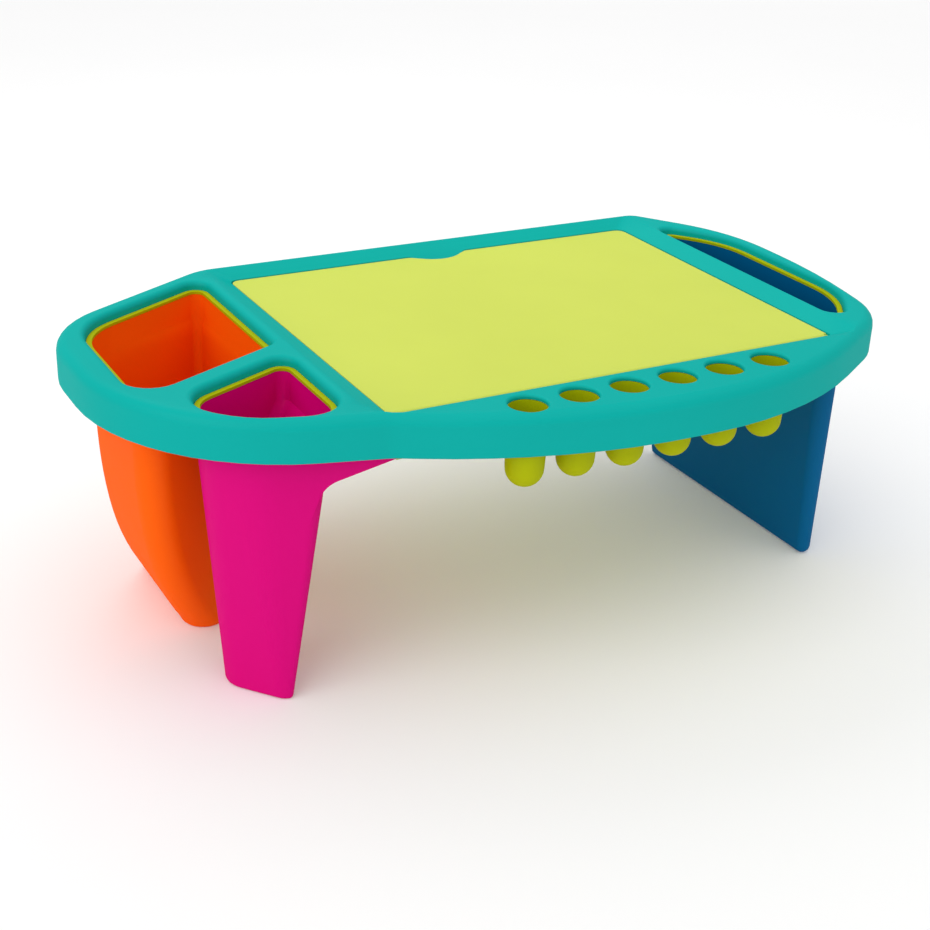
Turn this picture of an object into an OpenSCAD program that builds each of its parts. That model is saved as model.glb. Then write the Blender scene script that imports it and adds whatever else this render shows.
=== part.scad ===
// Lap desk with a lift lid. A moulded top frame carries a flat lid on two stub pins. Under it
// lies a tray with the storage tub and six crayon cups. Three deep bins hang from the
// tray and reach the floor, so they are the legs too.
// Millimetres, +Z up. The origin is on the floor, under the middle of the desk. The straight
// edge with the finger notch faces +Y and the bowed edge with the crayon cups faces -Y.

/* [Desk] */
// Overall width, left end to right end
desk_w = 500; // [494:1:540]
// Overall depth, straight back edge to bowed front edge
desk_d = 305; // [301:1:330]
// Height of the deck above the floor
desk_h = 176; // [165:1:200]
// Height of the skirt that hangs round the deck
skirt_h = 25; // [25:0.5:30]
// Wall of the moulded top frame
frame_t = 2.6; // [2.2:0.1:3]
// Radius of the shoulder between the deck and the skirt
shoulder_r = 7; // [4:0.5:7.5]
// Radius of the lower edge of the skirt
hem_r = 1.2; // [0.6:0.1:1.2]

/* [Outline] */
// Slanted corner at the back right: its reach along the back edge
back_right_x = 45; // [40:0.5:50]
// Slanted corner at the back right: its reach along the right end
back_right_y = 64.5; // [60:0.5:68]
// Rounding where the back edge meets the right slant
back_right_r = 16; // [12:1:22]
// Slanted corner at the back left: its reach along the back edge
back_left_x = 118; // [112:0.5:122]
// Slanted corner at the back left: its reach along the left end
back_left_y = 66.8; // [62:0.2:70]
// Rounding where the back edge meets the left slant
back_left_r = 38; // [25:1:45]
// Rounding at the top of the left end
left_top_r = 68; // [60:1:72]
// Height of the lower left corner above the front of the desk
left_low_y = 77.5; // [75:0.5:80]
// Rounding at the bottom of the left end
left_low_r = 125; // [115:1:130]
// Waist between the left lobe and the bowed front: its distance from the left end
waist_x = 131; // [128:0.5:134]
// Waist between the left lobe and the bowed front: its distance from the front
waist_y = 42.9; // [41:0.1:45]
// Rounding of the waist
waist_r = 40; // [30:1:45]
// Start of the bowed front, from the left end
bow_left_x = 215.4; // [212:0.2:218]
// End of the bowed front, from the right end
bow_right_x = 123.3; // [120:0.2:126]
// Radius of the left half of the bow
bow_left_r = 340; // [300:5:345]
// Radius of the right half of the bow
bow_right_r = 240; // [200:5:245]
// Front right corner: its distance from the right end
front_right_x = 16.5; // [14:0.5:19]
// Front right corner: its distance from the front
front_right_y = 65.2; // [62:0.2:68]
// Rounding of the front right corner
front_right_r = 58; // [50:1:62]
// Height above the front where the right end turns parallel to the sides
right_end_y = 143; // [138:1:146]
// Rounding of the right end
right_end_r = 400; // [300:10:420]
// Rounding at the top of the right end
right_top_r = 125; // [110:1:130]

/* [Lid] */
// Width of the lid
lid_w = 300; // [296:1:304]
// Depth of the lid
lid_d = 230; // [226:1:232]
// Thickness of the lid panel
lid_t = 2.6; // [2:0.1:3]
// Radius of the lid's back corners, and of the slope round it
lid_r = 6; // [3:0.5:8]
// Radius of the lid's front corners, beside the rolled edge
lid_front_r = 2; // [1:0.5:2]
// How far the lid's face lies below the deck
lid_drop = 6; // [5.5:0.1:7]
// Running gap between the lid and the frame
lid_gap = 0.8; // [0.5:0.1:1]
// Distance from the lid to the right end of the desk
lid_right = 65; // [63:0.5:67]
// Distance from the lid to the back of the desk
lid_back = 17.5; // [17:0.5:20]
// Width of the finger notch in the lid's back edge
notch_w = 42; // [36:1:48]
// Depth of the finger notch
notch_d = 10; // [8:0.2:11]
// Radius of the notch's bow
notch_r = 22; // [14:1:26]
// Radius of the rolled front edge of the lid
bead_r = 3; // [2.8:0.1:3.2]
// Radius of the stub pins that the lid turns on
pin_r = 2; // [1.6:0.1:2.2]
// Length of each stub pin
pin_l = 4.2; // [3.5:0.1:4.5]
// Running clearance round a stub pin
pin_gap = 0.05; // [0.03:0.01:0.1]
// Width of the ledge that the lid lies on
ledge_w = 7; // [6:0.5:8]
// Height of the stiffening rib under the lid
rib_h = 3.4; // [2:0.2:4]
// Width of the slope from the deck down to the lid, at the back
slope_back = 9.5; // [7:0.5:10]
// Width of the slope from the deck down to the lid, on the other sides
slope_side = 13; // [9:0.5:13.5]
// Rounding of the slope's corner beside the waist of the outline
slope_waist_r = 20; // [16:1:24]
// Gap in front of the rolled edge, so that the lid can lean past upright
front_gap = 1.2; // [1.1:0.1:1.6]

/* [Bins] */
// Bar between the lid and the two left bins
left_bar = 19.8; // [19:0.2:22]
// Bar between the lid and the right bin
right_bar = 16.6; // [15:0.2:18]
// Slanting bar between the two left bins
mid_bar = 15.6; // [14:0.2:18]
// Angle of the slanting bar
mid_bar_angle = 25.3; // [22:0.1:28]
// Place of the slanting bar's right end, behind the middle of the desk
mid_bar_y = 4.6; // [0:0.2:8]
// Rim outside the left bins, along the left end
left_rim = 18.6; // [18:0.2:22]
// Rim outside the rear left bin, along the slanted corner
slant_rim = 13.2; // [12.6:0.2:17]
// Rim outside the right bin, along the right end
right_rim = 10.8; // [10.4:0.2:14]
// Radius round the top of each bin mouth
mouth_r = 4; // [2.5:0.5:4.5]
// Visible width of the tray's lip inside each mouth
lip_w = 3.2; // [2.8:0.1:3.4]
// Wall of the bins
bin_t = 2; // [1.8:0.1:2.4]

/* [Crayon cups] */
// Number of crayon cups
cup_count = 6; // [4:1:6]
// Distance between neighbouring cups
cup_pitch = 32.5; // [30:0.5:33]
// Radius of a cup's mouth in the deck
cup_mouth_r = 11; // [9:0.5:11.5]
// Distance from the cups' axes to the front of the desk
cup_front = 29.5; // [28.5:0.5:30.5]
// How much narrower a cup is at its lower end
cup_draft = 1.5; // [0.5:0.1:1.8]
// Depth of a cup, deck to its round bottom outside
cup_depth = 48.8; // [44:0.2:52]
// Depth of the storage tub below the lid's face, outside
tub_depth = 33.5; // [28:0.5:36]
// Wall of the tray, its tub and its cups
tray_t = 1.6; // [1.4:0.1:2]

/* [Bin mouths] */
// Rounding of the small mouth corners
mouth_corner_r = 9; // [7:0.5:11]
// Rounding of the outer corner of the rear left bin
orange_cheek_r = 46; // [36:1:52]
// Rounding of the front corner of the rear left bin
orange_tip_r = 16; // [10:1:20]
// Height of the front left bin's mouth above the front of the desk, at its right end
magenta_front_y = 55.8; // [54:0.2:60]
// Distance from the mouth's right end to its knee
magenta_knee_x = 54.3; // [50:0.5:56]
// Rise from the mouth's right end to its knee
magenta_knee_y = 16.3; // [14:0.5:18]
// Direction of the mouth's edge past the knee
magenta_cheek_angle = 129.7; // [127:0.1:133]
// Rounding of the knee
magenta_knee_r = 52; // [40:1:56]
// Rounding of the mouth's outer end
magenta_tip_r = 22; // [16:1:24]
// Rounding of the mouth's front right corner
magenta_end_r = 20; // [12:1:22]
// Front end of the right bin's straight side, from the front of the desk
blue_front_y = 60.5; // [58:0.5:66]
// Front end of the right bin's bow, from the front of the desk
blue_low_y = 110; // [104:0.5:112]
// Back end of the right bin's bow, from the back of the desk
blue_high_y = 71; // [68:0.5:74]
// Back end of the right bin's straight side, from the back of the desk
blue_back_y = 24.5; // [24:0.5:27]
// Rounding of the right bin's bow
blue_bow_r = 72; // [60:1:76]
// Rounding of the right bin's two points
blue_tip_r = 8; // [6:0.5:9]

/* [Feet] */
// Rear left bin: taper of its back, left, front and right walls, deck to floor
orange_taper_back = 4; // [3:0.5:10]
orange_taper_left = 36.6; // [30:0.2:39]
orange_taper_front = 11.6; // [8:0.2:16]
orange_taper_right = 18; // [12:0.5:22]
// How late the rear left bin's walls draw in: 1 is straight, more is bulging
orange_bulge = 2.8; // [1:0.1:3.2]
// How much narrower than its mouth the rear left bin is, just below the deck
orange_waist = 3; // [1.6:0.1:4]
// Rounding of the rear left bin's lower edge
orange_edge_r = 3; // [2.4:0.2:6]
// Front left bin: taper of its back, cheek, front and right walls, deck to floor
magenta_taper_back = 10; // [3:0.5:11]
magenta_taper_cheek = 10; // [6:0.5:11]
magenta_taper_front = 1; // [0:0.2:4]
magenta_taper_right = 30.8; // [28:0.2:33]
// Front left bin: how far in from its mouth the right wall stands, below its flare
magenta_right_in = 10.4; // [8:0.2:12]
// Rounding of that wall's front edge
magenta_side_r = 8; // [6:0.5:9]
// Height of the flare from that wall out to the flange
magenta_flare = 12; // [10:1:18]
// How much narrower than its mouth the front left bin is, just below the deck
magenta_waist = 1.6; // [1.6:0.1:4]
// Rounding of the front left bin's lower edge
magenta_edge_r = 6; // [2.4:0.2:6]
// Right bin: taper of its front, bow, back and inner walls, deck to floor
blue_taper_front = 0; // [0:0.5:4]
blue_taper_bow = 12; // [6:0.5:14]
blue_taper_back = 3; // [0:0.5:8]
blue_taper_inner = 6; // [2:0.5:8]
// How much wider than its mouth the right bin is, just below the deck
blue_swell = 1.5; // [0:0.1:2]
// Rounding of the right bin's lower edge
blue_edge_r = 5; // [3:0.5:7]
// Web that stiffens the front left bin: its reach past the mouth
web_reach = 32; // [20:1:33]
// Depth of the web where its lower edge would meet the leg's edge
web_depth = 18.4; // [14:0.2:24]
// Distance of that point from the mouth's end
web_in = 16.4; // [14:0.2:18]
// Radius of the curve between the web and the leg
web_r = 17; // [10:0.5:20]
// Depth at which the web has run out into the leg
web_leg = 54; // [45:1:60]
// Thickness of the web
web_t = 2.6; // [2.2:0.1:3]

/* [Fasteners] */
// Radius of the screws
screw_r = 1.5; // [1.2:0.1:1.7]
// Radius of the screw heads
screw_head_r = 3; // [2.6:0.1:3.4]
// Radius of the screw bosses under the deck
boss_r = 3.6; // [3.2:0.1:4]
// Thickness of the bins' flanges
flange_t = 2.4; // [2:0.1:2.4]

/* [Hidden] */
$fn = 64;
// Clearance between mouldings that are assembled and stay put
seat = 0.3;
// What a cutting shape reaches past the face that it cuts
past = 1;

half_w = desk_w / 2;
half_d = desk_d / 2;
skirt_z = desk_h - skirt_h;
// The lid's face and underside
lid_z = desk_h - lid_drop;
lid_low = lid_z - lid_t;
lid_x0 = half_w - lid_right - lid_w;
lid_x1 = half_w - lid_right;
lid_y1 = half_d - lid_back;
lid_y0 = lid_y1 - lid_d;
lid_mid = (lid_x0 + lid_x1) / 2;
// Flanges lie flush with the skirt's edge, and the tray's plate lies on them
flange_z = skirt_z;
plate_z = flange_z + flange_t;
plate_top = plate_z + tray_t + 0.6;
deck_under = desk_h - frame_t;
lid_mid_y = (lid_y0 + lid_y1) / 2;
// Thickness of the ledge and of the wall round the lid's pocket
ledge_t = 3.4;
well_t = 2.2;
// Lower end of the sleeves round the bin mouths
sleeve_z = lid_z - 5;
// The tray's collars: their wall, and the lip that covers the rim of each bin
collar_t = 1.1;
lip_t = 1.6;
neck_in = seat + collar_t + 0.2;
rim_z = lid_z - lip_t - 0.2;
// The scoop under the finger notch: its depth, and how much wider than the notch it is
scoop_depth = 1.7;
scoop_reach = 5;
// Rounding of the crayon cups' lip
cup_lip_r = 1.8;
// Stiffening rib under the lid
rib_t = 1.8;
// Radii of the feet's corners
orange_foot_r = [8, 8, 14, 8];
magenta_foot_r = [8, 23, 11, 8];
blue_foot_r = [6, 40, 40, 6];
// The web beside the front left leg: the rounding of its corners, how far it roots in the leg's
// wall, and how little its face lies behind that wall's
web_tip_r = 0.8;
web_root = 29;
web_inset = 0.03;

// Plane geometry
function unit(v) = v / norm(v);
function left_of(v) = [-v[1], v[0]];
function flat(c) = [c[0], c[1]];
function cross2(a, b) = a[0] * b[1] - a[1] * b[0];
function meet(p, u, q, v) = p + u * cross2(q - p, v) / cross2(u, v);
function turned(v, a) = [cos(a) * v[0] - sin(a) * v[1], sin(a) * v[0] + cos(a) * v[1]];

// An outline is a list of corners [x, y, radius, steps], anticlockwise from above.
// rounded() draws it with each corner as an arc, all moved inwards by inset.
function heading(c, i) = unit(flat(c[(i + 1) % len(c)]) - flat(c[i]));
function arc(c, i, inset) =
    let (
        u = heading(c, (i + len(c) - 1) % len(c)),
        v = heading(c, i),
        turn = atan2(cross2(u, v), u * v),
        side = sign(turn),
        tip = flat(c[i]) + (left_of(u) + left_of(v)) * inset / (1 + u * v),
        r = max(c[i][2] - side * inset, 0.3),
        centre = tip - u * r * tan(abs(turn) / 2) + left_of(u) * r * side
    )
    [for (k = [0:round(c[i][3])]) centre - turned(left_of(u) * r * side, turn * k / c[i][3])];
function rounded(c, inset = 0) = [for (i = [0:len(c) - 1]) each arc(c, i, inset)];
// The same outline with each of its sides moved inwards by its own distance
function pulled_in(c, d) =
    [for (i = [0:len(c) - 1])
        let (
            j = (i + len(c) - 1) % len(c),
            u = heading(c, j),
            v = heading(c, i),
            p = meet(flat(c[i]) + left_of(u) * d[j], u, flat(c[i]) + left_of(v) * d[i], v)
        )
        [p[0], p[1], c[i][2], c[i][3]]];
// Corners part of the way from outline a to outline b, which have as many corners and steps
function blend(a, b, s) = a * (1 - s) + b * s;
function ring(points, z) = [for (p = points) [p[0], p[1], z]];

// A solid whose skin runs through a stack of rings, lowest first
module skin(rings) {
    n = len(rings[0]);
    m = len(rings);
    sides = [
        for (j = [0:m - 2], k = [0:n - 1])
            let (a = j * n + k, b = j * n + (k + 1) % n)
                each [[a, a + n, b + n], [a, b + n, b]]
    ];
    ends = [[for (k = [0:n - 1]) k], [for (k = [n - 1:-1:0]) (m - 1) * n + k]];
    polyhedron([for (r = rings) each r], concat(sides, ends));
}

// The desk's outline
desk = [
    [half_w - back_right_x, half_d, back_right_r, 6],
    [-half_w + back_left_x, half_d, back_left_r, 4],
    [-half_w, half_d - back_left_y, left_top_r, 8],
    [-half_w, -half_d + left_low_y, left_low_r, 12],
    [-half_w + waist_x, -half_d + waist_y, waist_r, 3],
    [-half_w + bow_left_x, -half_d, bow_left_r, 8],
    [half_w - bow_right_x, -half_d, bow_right_r, 7],
    [half_w - front_right_x, -half_d + front_right_y, front_right_r, 7],
    [half_w, -half_d + right_end_y, right_end_r, 4],
    [half_w, half_d - back_right_y, right_top_r, 7],
];

// The mouths of the three bins, where their walls stand upright below the deck
bin_x = lid_x0 - left_bar;
bin_left = -half_w + left_rim;
slant_u = heading(desk, 1);
slant_p = flat(desk[1]) + left_of(slant_u) * slant_rim;
bar_u = [cos(mid_bar_angle), sin(mid_bar_angle)];
bar_back = [bin_x, mid_bar_y + mid_bar / 2 / bar_u[0]];
bar_front = [bin_x, mid_bar_y - mid_bar / 2 / bar_u[0]];
function corner(p, r, steps) = [p[0], p[1], r, steps];
orange_mouth = [
    corner(meet([bin_x, 0], [0, 1], slant_p, slant_u), mouth_corner_r, 6),
    corner(meet([bin_left, 0], [0, 1], slant_p, slant_u), orange_cheek_r, 8),
    corner(meet([bin_left, 0], [0, 1], bar_back, bar_u), orange_tip_r, 8),
    corner(bar_back, mouth_corner_r, 5),
];
magenta_end = [bin_x, -half_d + magenta_front_y];
magenta_knee = magenta_end + [-magenta_knee_x, magenta_knee_y];
cheek_u = [cos(magenta_cheek_angle), sin(magenta_cheek_angle)];
magenta_mouth = [
    corner(bar_front, mouth_corner_r, 6),
    corner(meet(bar_front, bar_u, magenta_knee, cheek_u), magenta_tip_r, 8),
    corner(magenta_knee, magenta_knee_r, 4),
    corner(magenta_end, magenta_end_r, 8),
];
blue_x = lid_x1 + right_bar;
blue_bow_x = half_w - right_rim;
blue_mouth = [
    corner([blue_x, -half_d + blue_front_y], blue_tip_r, 7),
    corner([blue_bow_x, -half_d + blue_low_y], blue_bow_r, 7),
    corner([blue_bow_x, half_d - blue_high_y], blue_bow_r, 7),
    corner([blue_x, half_d - blue_back_y], blue_tip_r, 7),
];
mouths = [orange_mouth, magenta_mouth, blue_mouth];

// The feet: each side of the mouth moved inwards by its own taper, with corners no rounder
// than their sides leave room for
function foot_of(mouth, tapers, radii) =
    let (c = pulled_in(mouth, tapers))
    [for (i = [0:len(c) - 1])
        let (
            j = (i + len(c) - 1) % len(c),
            k = (i + 1) % len(c),
            u = heading(c, j),
            v = heading(c, i),
            room = 0.49 * min(norm(flat(c[i]) - flat(c[j])), norm(flat(c[k]) - flat(c[i])))
        )
        [c[i][0], c[i][1], min(radii[i], room / tan(atan2(cross2(u, v), u * v) / 2)), c[i][3]]];
orange_foot = foot_of(
    orange_mouth,
    [orange_taper_back, orange_taper_left, orange_taper_front, orange_taper_right],
    orange_foot_r
);
magenta_foot = foot_of(
    magenta_mouth,
    [magenta_taper_back, magenta_taper_cheek, magenta_taper_front, magenta_taper_right],
    magenta_foot_r
);
blue_foot = foot_of(
    blue_mouth,
    [blue_taper_front, blue_taper_bow, blue_taper_back, blue_taper_inner],
    blue_foot_r
);
// Each bin's share of the space under the tray: corners of a region round its flange
flange_gap = 0.8;
bar_mid = [bin_x, mid_bar_y];
orange_side = [
    [lid_x0 + 3, bar_mid[1] + 11 + flange_gap],
    [lid_x0 + 3, half_d],
    [-half_w, half_d],
    bar_mid + left_of(bar_u) * flange_gap - bar_u * half_w,
    bar_mid + left_of(bar_u) * flange_gap + bar_u * 20,
];
magenta_side = [
    [lid_x0 + 3, bar_mid[1] + 11 - flange_gap],
    bar_mid - left_of(bar_u) * flange_gap + bar_u * 20,
    bar_mid - left_of(bar_u) * flange_gap - bar_u * half_w,
    [-half_w, -half_d],
    [lid_x0 + 3, -half_d],
];
blue_side = [[lid_x1, -half_d], [half_w, -half_d], [half_w, half_d], [lid_x1, half_d]];

// Rings that round the lower edge of an outline, and the upper edge, by radius r
function foot_rings(c, r, z, inset = 0) =
    [for (a = [0:30:90]) ring(rounded(c, inset + r * (1 - sin(a))), z + r * (1 - cos(a)))];
function brow_rings(c, r, z, inset = 0, step = 15) =
    [for (a = [0:step:90]) ring(rounded(c, inset + r * (1 - cos(a))), z - r * (1 - sin(a)))];

// The lid's outline, its pocket, the slope round it and the opening into the tub
lid_face = [
    corner([lid_x1, lid_y1], lid_r, 6),
    corner([lid_x0, lid_y1], lid_r, 6),
    corner([lid_x0, lid_y0], lid_front_r, 6),
    corner([lid_x1, lid_y0], lid_front_r, 6),
];
pocket = pulled_in(lid_face, [-lid_gap, -lid_gap, -front_gap, -lid_gap]);
slope = [
    for (i = [0:3])
        let (c = pulled_in(lid_face, -[slope_back, slope_side, slope_side, slope_side]))
        [c[i][0], c[i][1], i == 2 ? slope_waist_r : lid_r, c[i][3]]
];
tub_mouth = pulled_in(lid_face, [ledge_w, ledge_w, -front_gap, ledge_w]);
pocket_z = lid_low - seat;
well_z = pocket_z - ledge_t;
// The axis that the lid turns on
hinge_y = lid_y0 + bead_r;
hinge_z = lid_z - bead_r;

// The finger notch: a bow whose two sides run out, past the lid's back edge, at notch_a to it
notch_corner_r = 7;
notch_a = atan2(notch_w / 2, notch_r - notch_d) - acos(notch_r / norm([notch_w / 2, notch_r - notch_d]));
notch_edge = lid_y1 + 0.01;
function notch_at(half) = [
    corner([lid_mid + half + notch_d, lid_y1 + notch_d], 1, 3),
    corner([lid_mid - half - notch_d, lid_y1 + notch_d], 1, 3),
    corner([lid_mid - half - notch_d, notch_edge], 1, 3),
    corner([lid_mid - half, notch_edge], notch_corner_r, 5),
    corner([lid_mid, notch_edge - half * tan(notch_a)], notch_r, 14),
    corner([lid_mid + half, notch_edge], notch_corner_r, 5),
    corner([lid_mid + half + notch_d, notch_edge], 1, 3),
];
notch = notch_at(notch_w / 2);
// The scoop under it, which reaches a fingertip further under the lid
scoop = notch_at(notch_w / 2 + scoop_reach);
lid_rib = pulled_in(lid_face, [notch_d + 8, ledge_w + 2.5, 2 * bead_r + 2, ledge_w + 2.5]);

// The storage tub: its rim under the ledge and its foot
tub_top = pulled_in(lid_face, [5.2, 5.2, 5.2, 5.2]);
tub_foot = pulled_in(lid_face, [9, 9, 9, 9]);
tub_z = lid_z - tub_depth;
tub_r = 3;

// The crayon cups
cup_y = -half_d + cup_front;
cup_xs = [for (i = [0:cup_count - 1]) lid_mid + (i - (cup_count - 1) / 2) * cup_pitch];
cup_r = cup_mouth_r + tray_t - 0.2;
cup_rim_z = deck_under - seat;
cup_low_z = desk_h - cup_depth + cup_r - cup_draft;

// Screw bosses: what holds the tray, and what holds each bin
spot_by_cup = 14;
spot_back = 30;
spot_by_bar = 20;
spot_by_tip = 66;
spot_side = 25;
spot_outside = [-0.4, -2.4];
back_y = lid_y1 + lid_back / 2;
left_x = lid_x0 - left_bar / 2;
right_x = lid_x1 + right_bar / 2;
tray_spots = [
    [lid_mid - lid_w / 3, back_y],
    [lid_mid, back_y],
    [lid_mid + lid_w / 3, back_y],
    [cup_xs[0] - cup_mouth_r - spot_by_cup, cup_y + 5],
    [cup_xs[cup_count - 1] + cup_mouth_r + spot_by_cup, cup_y + 5],
];
orange_spots = [
    [left_x, lid_y1 - spot_back],
    [left_x, orange_mouth[3][1] + spot_by_bar],
    [-half_w + left_rim / 2 + 0.4, orange_mouth[2][1] + spot_by_tip],
];
magenta_spots = [
    [left_x, magenta_mouth[0][1] - spot_by_bar],
    [left_x, magenta_mouth[3][1] + spot_by_bar],
    flat(magenta_mouth[1]) + spot_outside,
];
blue_spots = [
    [right_x, lid_y1 - spot_side],
    [right_x, lid_mid_y],
    [right_x, lid_y0 + spot_side],
];
bin_spots = concat(orange_spots, magenta_spots, blue_spots);
screw_l = deck_under - plate_z - 4;

// The frame
module frame_shell() {
    difference() {
        skin(concat(foot_rings(desk, hem_r, skirt_z), brow_rings(desk, shoulder_r, desk_h)));
        skin(concat(
            [ring(rounded(desk, frame_t), skirt_z - past)],
            brow_rings(desk, shoulder_r - frame_t, deck_under, frame_t, 45)
        ));
    }
}

// Wall below the slope and the pocket, down to the underside of the ledge
module lid_well() {
    skin([
        ring(rounded(pocket, -well_t), well_z),
        ring(rounded(pocket, -well_t), lid_z - well_t),
        ring(rounded(slope, -well_t / 2), deck_under + seat),
    ]);
    for (side = [0, 1])
        translate([side == 0 ? lid_x0 - lid_gap - pin_l - 1.2 : lid_x1 + lid_gap, hinge_y, hinge_z])
            rotate([0, 90, 0])
                cylinder(h = pin_l + 1.2, r = pin_r + 2.2);
}

module lid_recess() {
    difference() {
        skin([
            ring(rounded(pocket), pocket_z),
            ring(rounded(pocket), lid_z + 0.4),
            ring(rounded(slope), desk_h),
            ring(rounded(slope), desk_h + past),
        ]);
        // What fills the lid's notch
        translate([0, 0, pocket_z - past])
            linear_extrude(lid_z + 0.4 - pocket_z + past)
                polygon(rounded(notch, lid_gap));
    }
    // The slope runs on into the notch, to a scoop that lets a finger under the lid
    intersection() {
        translate([0, 0, well_z])
            linear_extrude(desk_h - well_z)
                polygon(rounded(scoop));
        translate([lid_mid - notch_w, 0, 0])
            rotate([90, 0, 90])
                linear_extrude(2 * notch_w)
                    polygon([
                        [lid_y1 + lid_gap, lid_z + 0.4],
                        [lid_y1 - 6.9, pocket_z - scoop_depth],
                        [lid_y1 - notch_d - 6, pocket_z - scoop_depth],
                        [lid_y1 - notch_d - 6, lid_z + past],
                        [lid_y1 + lid_gap, lid_z + past],
                    ]);
    }
    // Through to the tub, but for a tab that closes the notch from below
    translate([0, 0, well_z - past])
        linear_extrude(pocket_z - well_z + 2 * past)
            difference() {
                polygon(rounded(tub_mouth));
                translate([lid_mid - notch_w / 2 - 5, lid_y1 - notch_d - 6])
                    square([notch_w + 10, notch_d + 6]);
            }
    // Room for the rolled edge in front of the ledges
    translate([0, 0, well_z - past])
        linear_extrude(pocket_z - well_z + 2 * past)
            intersection() {
                polygon(rounded(pocket));
                translate([lid_x0 - lid_gap - past, lid_y0 - front_gap - past])
                    square([lid_w + 2 * (lid_gap + past), front_gap + past + 2 * bead_r + seat]);
            }
    // Bores for the stub pins
    translate([lid_x0 - lid_gap - pin_l - past / 2, hinge_y, hinge_z])
        rotate([0, 90, 0])
            cylinder(h = lid_w + 2 * (lid_gap + pin_l) + past, r = pin_r + pin_gap);
}

module mouth_cut(m) {
    skin(concat(
        [ring(rounded(m), sleeve_z - past)],
        [for (a = [0:15:90])
            ring(rounded(m, -mouth_r * (1 - cos(a))), desk_h - mouth_r * (1 - sin(a)))],
        [ring(rounded(m, -mouth_r), desk_h + past)]
    ));
}

module cup_hole() {
    translate([0, 0, deck_under - past])
        cylinder(h = frame_t + 2 * past, r = cup_mouth_r);
    // Rounded lip
    translate([0, 0, desk_h])
        rotate_extrude()
            difference() {
                translate([0, -cup_lip_r])
                    square([cup_mouth_r + cup_lip_r, cup_lip_r + past]);
                translate([cup_mouth_r + cup_lip_r, -cup_lip_r])
                    circle(r = cup_lip_r);
            }
}

module top_frame() {
    color("#06afa7")
        difference() {
            union() {
                frame_shell();
                lid_well();
                for (m = mouths)
                    translate([0, 0, sleeve_z])
                        linear_extrude(deck_under - sleeve_z + seat)
                            polygon(rounded(m, -well_t));
                for (p = concat(tray_spots, bin_spots))
                    translate([p[0], p[1], plate_top])
                        cylinder(h = deck_under - plate_top + seat, r = boss_r);
            }
            lid_recess();
            for (m = mouths)
                mouth_cut(m);
            for (x = cup_xs)
                translate([x, cup_y, 0])
                    cup_hole();
            for (p = concat(tray_spots, bin_spots))
                translate([p[0], p[1], plate_top - past])
                    cylinder(h = screw_l - (plate_top - plate_z) + 2 * past, r = screw_r + pin_gap);
        }
}

// The tray under the deck
module cup(inset, top_z) {
    translate([0, 0, cup_low_z])
        cylinder(h = top_z - cup_low_z, r1 = cup_r - cup_draft - inset, r2 = cup_r - inset);
    translate([0, 0, cup_low_z])
        sphere(r = cup_r - cup_draft - inset);
}

module storage_tray() {
    color("#b4b40a")
        difference() {
            union() {
                translate([0, 0, plate_z])
                    linear_extrude(plate_top - plate_z)
                        polygon(rounded(desk, frame_t + seat));
                for (m = mouths)
                    translate([0, 0, plate_z])
                        linear_extrude(lid_z - plate_z)
                            polygon(rounded(m, seat));
                skin(concat(
                    foot_rings(tub_foot, tub_r, tub_z),
                    [ring(rounded(tub_top), well_z - seat)]
                ));
                // The cups, trimmed to the inside of the frame
                intersection() {
                    for (x = cup_xs)
                        translate([x, cup_y, 0])
                            cup(0, cup_rim_z);
                    skin(concat(
                        [ring(rounded(desk, frame_t + seat), 0)],
                        brow_rings(desk, shoulder_r - frame_t, deck_under - seat, frame_t + seat, 45)
                    ));
                }
            }
            skin(concat(
                foot_rings(tub_foot, tub_r, tub_z + tray_t, tray_t),
                [ring(rounded(tub_top, tray_t), well_z + past)]
            ));
            for (m = mouths) {
                translate([0, 0, plate_z - past])
                    linear_extrude(lid_z - lip_t - plate_z + past)
                        polygon(rounded(m, seat + collar_t));
                translate([0, 0, plate_z - past])
                    linear_extrude(lid_z - plate_z + 2 * past)
                        polygon(rounded(m, seat + lip_w));
            }
            for (x = cup_xs)
                translate([x, cup_y, 0])
                    cup(tray_t, cup_rim_z + 0.01);
            for (p = concat(tray_spots, bin_spots))
                translate([p[0], p[1], plate_z - past])
                    cylinder(h = plate_top - plate_z + 2 * past, r = screw_r + 0.2);
            for (p = tray_spots)
                translate([p[0], p[1], plate_z])
                    screw_seat();
        }
}

// The lid
module lid() {
    color("#d0dc6a")
        union() {
            translate([0, 0, lid_low])
                linear_extrude(lid_t)
                    difference() {
                        polygon(rounded(lid_face));
                        translate([lid_x0 - past, lid_y0 - past])
                            square([lid_w + 2 * past, bead_r + past]);
                        polygon(rounded(notch));
                    }
            translate([lid_x0 + bead_r, hinge_y, hinge_z])
                rotate([0, 90, 0])
                    cylinder(h = lid_w - 2 * bead_r, r = bead_r);
            for (x = [lid_x0 + bead_r, lid_x1 - bead_r])
                translate([x, hinge_y, hinge_z])
                    sphere(r = bead_r);
            translate([lid_x0 - pin_l, hinge_y, hinge_z])
                rotate([0, 90, 0])
                    cylinder(h = lid_w + 2 * pin_l, r = pin_r);
            translate([0, 0, lid_low - rib_h])
                linear_extrude(rib_h)
                    difference() {
                        polygon(rounded(lid_rib));
                        polygon(rounded(lid_rib, rib_t));
                    }
        }
}

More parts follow.
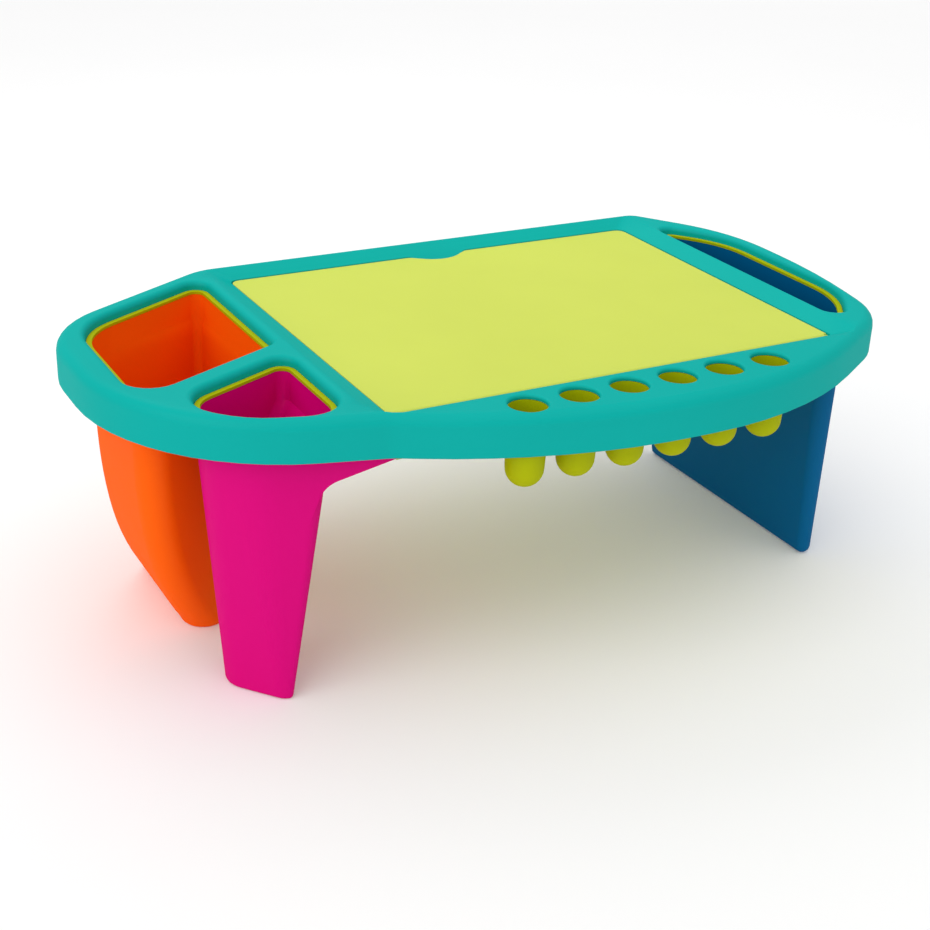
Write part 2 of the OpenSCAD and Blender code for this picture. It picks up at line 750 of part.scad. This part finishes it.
// The bins: foot, walls and neck, as a stack of rings for the outside or the hollow. The walls
// are a list of [share of the height, outline].
function swollen(c, d) =
    let (p = pulled_in(c, [for (i = c) -d]))
    [for (q = p) [q[0], q[1], q[2] + d, q[3]]];
function drawn_in(top, foot, bulge, steps) =
    [for (k = [1:steps]) [k / steps, blend(top, foot, pow(1 - k / steps, bulge))]];
function bin_rings(mouth, walls, foot, edge_r, wall, top_z) =
    let (edge = max(wall + 0.2, min([for (q = foot) min(edge_r, q[2] - 0.3)])))
    concat(
        foot_rings(foot, edge - wall, wall, wall),
        [for (w = walls) ring(rounded(w[1], wall), edge + (flange_z - edge) * w[0])],
        [for (z = [plate_z, top_z]) ring(rounded(mouth, neck_in + wall), z)]
    );

module bin(mouth, walls, foot, edge_r, spots, region) {
    difference() {
        union() {
            skin(bin_rings(mouth, walls, foot, edge_r, 0, rim_z));
            translate([0, 0, flange_z])
                linear_extrude(flange_t)
                    intersection() {
                        polygon(rounded(desk, frame_t + 2 * seat));
                        polygon(region);
                    }
            children();
        }
        skin(bin_rings(mouth, walls, foot, edge_r, bin_t, rim_z + past));
        for (p = spots)
            translate([p[0], p[1], flange_z]) {
                translate([0, 0, -past])
                    cylinder(h = flange_t + 2 * past, r = screw_r + 0.2);
                screw_seat();
            }
    }
}

module orange_bin() {
    walls = drawn_in(swollen(orange_mouth, -orange_waist), orange_foot, orange_bulge, 16);
    color("#ff6105")
        bin(orange_mouth, walls, orange_foot, orange_edge_r, orange_spots, orange_side);
}

// Below its flare the front left bin is narrower than its mouth, with a tighter front edge
magenta_top = swollen(magenta_mouth, -magenta_waist);
magenta_body = [
    for (i = [0:3])
        let (c = pulled_in(magenta_mouth, [magenta_waist, magenta_waist, magenta_waist, magenta_right_in]))
        [c[i][0], c[i][1], i == 3 ? magenta_side_r : magenta_top[i][2], c[i][3]]
];

// Web flush with the front wall of the front left bin, from the leg's edge up to the flange
module web() {
    front_u = heading(magenta_mouth, 2);
    start = magenta_end + left_of(front_u) * (magenta_waist + web_inset);
    lean = atan((magenta_waist - magenta_taper_front) / flange_z);
    web_top = flange_t / 2;
    outline = [
        corner([web_reach, web_top], web_tip_r, 2),
        corner([-web_root, web_top], web_tip_r, 2),
        corner([-web_root, -web_leg], web_tip_r, 2),
        corner([-web_in, -web_depth], web_r, 8),
        corner([web_reach, -web_tip_r], web_tip_r, 2),
    ];
    translate([start[0], start[1], flange_z])
        rotate([90 - lean, 0, atan2(front_u[1], front_u[0])])
            translate([0, 0, -web_t])
                linear_extrude(web_t)
                    polygon(rounded(outline));
}

module magenta_bin() {
    walls = [[1 - magenta_flare / flange_z, magenta_body], [1, magenta_top]];
    color("#dc007c")
        bin(magenta_mouth, walls, magenta_foot, magenta_edge_r, magenta_spots, magenta_side)
            web();
}

module blue_bin() {
    walls = drawn_in(swollen(blue_mouth, blue_swell), blue_foot, 1, 1);
    color("#00537d")
        bin(blue_mouth, walls, blue_foot, blue_edge_r, blue_spots, blue_side);
}

// Countersunk screws, drawn at the core of their thread
module screw_seat() {
    translate([0, 0, -0.01])
        cylinder(h = screw_head_r - screw_r + 0.05, r1 = screw_head_r + 0.05, r2 = screw_r);
}

module screw(length) {
    cylinder(h = screw_head_r - screw_r, r1 = screw_head_r, r2 = screw_r);
    cylinder(h = length, r = screw_r);
}

module tray_screws() {
    color("silver")
        for (p = tray_spots)
            translate([p[0], p[1], plate_z])
                screw(screw_l);
}

module bin_screws() {
    color("silver")
        for (p = bin_spots)
            translate([p[0], p[1], flange_z])
                screw(screw_l + flange_t);
}

top_frame();
storage_tray();
lid();
orange_bin();
magenta_bin();
blue_bin();
tray_screws();
bin_screws();
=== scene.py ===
"""Looks of a child's lap desk: smooth shading, moulded plastics, a studio and a camera.

Everything is in metres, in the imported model's own frame: +X towards the single bin, +Y towards the
finger notch, +Z up, with the origin on the floor under the middle of the desk.
"""

import math

import bpy
from mathutils import Matrix, Vector

# The photograph's camera: where it stands, its axes, and its lens on a 36 mm wide sensor
CAMERA_AT = Vector((-0.4620, -0.7865, 0.5112))
CAMERA_RIGHT = Vector((0.8768, -0.4793, 0.0384))
CAMERA_DOWN = Vector((-0.1764, -0.3949, -0.9016))
CAMERA_AHEAD = Vector((0.4473, 0.7838, -0.4308))
LENS_MM = 61.9
SENSOR_MM = 36

# Colours of the plastics, as sRGB values from 0 to 255
TEAL = (4, 171, 163)
LIME = (174, 182, 4)
PALE_LIME = (203, 215, 92)
ORANGE = (255, 98, 4)
MAGENTA = (216, 0, 121)
BLUE = (0, 94, 143)
ZINC = (176, 178, 180)

# How much darker and lighter than its own colour unevenly mixed pigment gets
PIGMENT_LOW = 0.94
PIGMENT_HIGH = 1.04

# How far the roughness of handled plastic strays below and above its mean
SMEAR_LOW = 0.04
SMEAR_HIGH = 0.05

# Depth of the slow waves from shrinkage and of the spark-eroded grain
WAVE_DEPTH = 0.0022
GRAIN_DEPTH = 0.00025

# The gloss is a thin coat, so that it doesn't wash out the deep colours at low angles
COAT_WEIGHT = 0.15
COAT_IOR = 1.5

# How far light spreads in a milky plastic, in red, green and blue
MILKY_RADIUS = (0.004, 0.004, 0.002)

# Roughness of the zinc, and how dark its bloom gets
ZINC_ROUGHNESS = (0.28, 0.45)
ZINC_BLOOM = 0.85

# Points closer than this are welded, and edges sharper than this stay sharp in the shading
WELD_M = 0.000004
SHARP_DEG = 34

# The floor: half its width, its two greys, and a faint glow that keeps the far edge white
FLOOR_HALF = 6
FLOOR_GREYS = (0.86, 0.88)
FLOOR_GLOW = 0.1
WORLD_STRENGTH = 0.66

WHITE = (1, 1, 1, 1)


def linear(colour):
    """An sRGB colour from 0 to 255 as linear RGBA."""
    def channel(c):
        c /= 255
        return c / 12.92 if c <= 0.04045 else ((c + 0.055) / 1.055) ** 2.4
    return (*[channel(c) for c in colour], 1)


# Materials

def shade(colour, factor):
    """A linear colour made darker or lighter, at full alpha."""
    return (*[min(1, c * factor) for c in colour[:3]], 1)


def new_material(name):
    """An empty node material, its Principled shader and a function that adds nodes to it."""
    material = bpy.data.materials.new(name)
    material.use_nodes = True
    tree = material.node_tree
    shader = tree.nodes["Principled BSDF"]

    def add(kind, **values):
        node = tree.nodes.new(kind)
        for key, value in values.items():
            if key in node.inputs:
                node.inputs[key].default_value = value
            else:
                setattr(node, key, value)
        return node
    return material, tree, shader, add


def plastic(name, colour, gloss=0.4, grain=1.0, milky=0.0):
    """Moulded plastic: a fine spark-eroded grain, slow waves and a little cloudiness."""
    material, tree, shader, add = new_material(name)
    link = tree.links.new
    place = add("ShaderNodeTexCoord")

    # Pigment that isn't quite evenly mixed
    clouds = add("ShaderNodeTexNoise", Scale=9, Detail=3, Roughness=0.55)
    tint = add("ShaderNodeMix", data_type="RGBA")
    tint.inputs["A"].default_value = shade(linear(colour), PIGMENT_LOW)
    tint.inputs["B"].default_value = shade(linear(colour), PIGMENT_HIGH)
    link(place.outputs["Object"], clouds.inputs["Vector"])
    link(clouds.outputs["Fac"], tint.inputs["Factor"])
    link(tint.outputs["Result"], shader.inputs["Base Color"])

    # Gloss that varies a little, as handled plastic does
    smears = add("ShaderNodeTexNoise", Scale=22, Detail=4, Roughness=0.6)
    gloss_range = add("ShaderNodeMapRange")
    gloss_range.inputs["To Min"].default_value = gloss - SMEAR_LOW
    gloss_range.inputs["To Max"].default_value = gloss + SMEAR_HIGH
    link(place.outputs["Object"], smears.inputs["Vector"])
    link(smears.outputs["Fac"], gloss_range.inputs["Value"])
    link(gloss_range.outputs["Result"], shader.inputs["Roughness"])
    link(gloss_range.outputs["Result"], shader.inputs["Coat Roughness"])

    # Slow waves under a fine grain
    waves = add("ShaderNodeTexNoise", Scale=14, Detail=1, Roughness=0.4)
    grains = add("ShaderNodeTexNoise", Scale=1500, Detail=2, Roughness=0.6)
    slow = add("ShaderNodeBump", Strength=0.12, Distance=WAVE_DEPTH)
    fine = add("ShaderNodeBump", Strength=0.10 * grain, Distance=GRAIN_DEPTH)
    for noise, bump in ((waves, slow), (grains, fine)):
        link(place.outputs["Object"], noise.inputs["Vector"])
        link(noise.outputs["Fac"], bump.inputs["Height"])
    link(slow.outputs["Normal"], fine.inputs["Normal"])
    link(fine.outputs["Normal"], shader.inputs["Normal"])
    link(fine.outputs["Normal"], shader.inputs["Coat Normal"])

    shader.inputs["Specular IOR Level"].default_value = 0
    shader.inputs["Coat Weight"].default_value = COAT_WEIGHT
    shader.inputs["Coat IOR"].default_value = COAT_IOR
    if milky:
        shader.inputs["Subsurface Weight"].default_value = milky
        shader.inputs["Subsurface Radius"].default_value = MILKY_RADIUS
        shader.inputs["Subsurface Scale"].default_value = 1
    return material


def zinc(name):
    """Zinc plating on the screws: a faint patchy bloom."""
    material, tree, shader, add = new_material(name)
    link = tree.links.new
    place = add("ShaderNodeTexCoord")
    bloom = add("ShaderNodeTexNoise", Scale=420, Detail=3, Roughness=0.6)
    tint = add("ShaderNodeMix", data_type="RGBA")
    tint.inputs["A"].default_value = shade(linear(ZINC), ZINC_BLOOM)
    tint.inputs["B"].default_value = linear(ZINC)
    dull = add("ShaderNodeMapRange")
    dull.inputs["To Min"].default_value, dull.inputs["To Max"].default_value = ZINC_ROUGHNESS
    link(place.outputs["Object"], bloom.inputs["Vector"])
    link(bloom.outputs["Fac"], tint.inputs["Factor"])
    link(bloom.outputs["Fac"], dull.inputs["Value"])
    link(tint.outputs["Result"], shader.inputs["Base Color"])
    link(dull.outputs["Result"], shader.inputs["Roughness"])
    shader.inputs["Metallic"].default_value = 1
    return material


# Smooth shading for the mouldings

def smoothing_nodes():
    """A node group that welds a mesh and shades it smooth, but for its sharp edges."""
    group = bpy.data.node_groups.new("moulded_smoothing", "GeometryNodeTree")
    group.interface.new_socket("Geometry", in_out="INPUT", socket_type="NodeSocketGeometry")
    group.interface.new_socket("Geometry", in_out="OUTPUT", socket_type="NodeSocketGeometry")
    nodes = group.nodes
    link = group.links.new
    start = nodes.new("NodeGroupInput")
    end = nodes.new("NodeGroupOutput")
    weld = nodes.new("GeometryNodeMergeByDistance")
    weld.inputs["Distance"].default_value = WELD_M
    faces = nodes.new("GeometryNodeSetShadeSmooth")
    faces.domain = "FACE"
    angle = nodes.new("GeometryNodeInputMeshEdgeAngle")
    gentle = nodes.new("FunctionNodeCompare")
    gentle.data_type = "FLOAT"
    gentle.operation = "LESS_THAN"
    gentle.inputs["B"].default_value = math.radians(SHARP_DEG)
    edges = nodes.new("GeometryNodeSetShadeSmooth")
    edges.domain = "EDGE"
    link(start.outputs["Geometry"], weld.inputs["Geometry"])
    link(weld.outputs["Geometry"], faces.inputs["Geometry"])
    link(faces.outputs["Geometry"], edges.inputs["Geometry"])
    link(angle.outputs["Unsigned Angle"], gentle.inputs["A"])
    link(gentle.outputs["Result"], edges.inputs["Shade Smooth"])
    link(edges.outputs["Geometry"], end.inputs["Geometry"])
    return group


def smooth(piece, group):
    """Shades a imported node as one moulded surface, without a change to its mesh."""
    piece.modifiers.new("smoothing", "NODES").node_group = group
    normals = piece.modifiers.new("normals", "WEIGHTED_NORMAL")
    normals.keep_sharp = True
    normals.weight = 50


# The studio

def aimed(data, name, at, target):
    """Puts a light in the scene and turns it towards a point."""
    light = bpy.data.objects.new(name, data)
    bpy.context.scene.collection.objects.link(light)
    light.location = at
    light.rotation_euler = (Vector(target) - Vector(at)).to_track_quat("-Z", "Y").to_euler()


def softbox(name, at, target, size, power):
    """A rectangular lamp near the desk."""
    data = bpy.data.lights.new(name, "AREA")
    data.shape = "RECTANGLE"
    data.size, data.size_y = size
    data.energy = power
    aimed(data, name, at, target)


def far_bank(name, at, strength, spread_deg):
    """A bank of lamps so far off that it lights the whole floor evenly."""
    data = bpy.data.lights.new(name, "SUN")
    data.energy = strength
    data.angle = math.radians(spread_deg)
    aimed(data, name, at, (0, 0, 0))


def studio():
    """The overhead softbox, two soft banks and an even white surround."""
    softbox("overhead", (-0.1, 0.75, 1.1), (0.05, 0, 0.17), (1.1, 0.7), 3.2)
    far_bank("left_bank", (-2.2, -0.9, 1.5), 0.95, 60)
    far_bank("top_bank", (0.3, -0.5, 2), 0.55, 70)
    world = bpy.data.worlds.new("studio")
    world.use_nodes = True
    background = world.node_tree.nodes["Background"]
    background.inputs["Color"].default_value = WHITE
    background.inputs["Strength"].default_value = WORLD_STRENGTH
    bpy.context.scene.world = world


def floor():
    """A wide, flat, pale sheet under the desk, part of the studio."""
    mesh = bpy.data.meshes.new("floor")
    signs = ((-1, -1), (1, -1), (1, 1), (-1, 1))
    corners = [(x * FLOOR_HALF, y * FLOOR_HALF, 0) for x, y in signs]
    mesh.from_pydata(corners, [], [(0, 1, 2, 3)])
    sheet = bpy.data.objects.new("floor", mesh)
    bpy.context.scene.collection.objects.link(sheet)
    material, tree, shader, add = new_material("floor")
    place = add("ShaderNodeTexCoord")
    mottle = add("ShaderNodeTexNoise", Scale=3, Detail=2)
    tint = add("ShaderNodeMix", data_type="RGBA")
    tint.inputs["A"].default_value = shade(WHITE, FLOOR_GREYS[0])
    tint.inputs["B"].default_value = shade(WHITE, FLOOR_GREYS[1])
    tree.links.new(place.outputs["Object"], mottle.inputs["Vector"])
    tree.links.new(mottle.outputs["Fac"], tint.inputs["Factor"])
    tree.links.new(tint.outputs["Result"], shader.inputs["Base Color"])
    shader.inputs["Roughness"].default_value = 0.9
    shader.inputs["Emission Color"].default_value = WHITE
    shader.inputs["Emission Strength"].default_value = FLOOR_GLOW
    shader.inputs["Specular IOR Level"].default_value = 0.1
    mesh.materials.append(material)


def camera():
    """The photograph's camera."""
    data = bpy.data.cameras.new("camera")
    data.sensor_width = SENSOR_MM
    data.lens = LENS_MM
    data.clip_start = 0.01
    eye = bpy.data.objects.new("camera", data)
    bpy.context.scene.collection.objects.link(eye)
    axes = Matrix((CAMERA_RIGHT, -CAMERA_DOWN, -CAMERA_AHEAD)).transposed()
    eye.matrix_world = Matrix.Translation(CAMERA_AT) @ axes.to_4x4()
    bpy.context.scene.camera = eye


def dress(piece, material):
    """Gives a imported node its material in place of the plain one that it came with."""
    piece.data.materials.clear()
    piece.data.materials.append(material)


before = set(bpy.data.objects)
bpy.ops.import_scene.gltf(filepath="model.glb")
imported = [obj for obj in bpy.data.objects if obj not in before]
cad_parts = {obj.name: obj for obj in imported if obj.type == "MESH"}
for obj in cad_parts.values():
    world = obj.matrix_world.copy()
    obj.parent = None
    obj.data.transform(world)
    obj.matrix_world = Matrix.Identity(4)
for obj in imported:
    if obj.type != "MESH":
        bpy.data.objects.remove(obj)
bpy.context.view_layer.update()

camera()
studio()
floor()

smoothing = smoothing_nodes()
materials = {
    "top_frame": plastic("teal_plastic", TEAL, gloss=0.38),
    "storage_tray": plastic("lime_plastic", LIME, gloss=0.4),
    "lid": plastic("pale_lime_plastic", PALE_LIME, gloss=0.36, grain=0.6, milky=0.12),
    "orange_bin": plastic("orange_plastic", ORANGE, gloss=0.42),
    "magenta_bin": plastic("magenta_plastic", MAGENTA, gloss=0.42),
    "blue_bin": plastic("blue_plastic", BLUE, gloss=0.4),
}
steel = zinc("screw_steel")
for name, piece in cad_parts.items():
    dress(piece, materials.get(name, steel))
    smooth(piece, smoothing)

bpy.context.scene.view_settings.view_transform = "Standard"
bpy.context.view_layer.update()
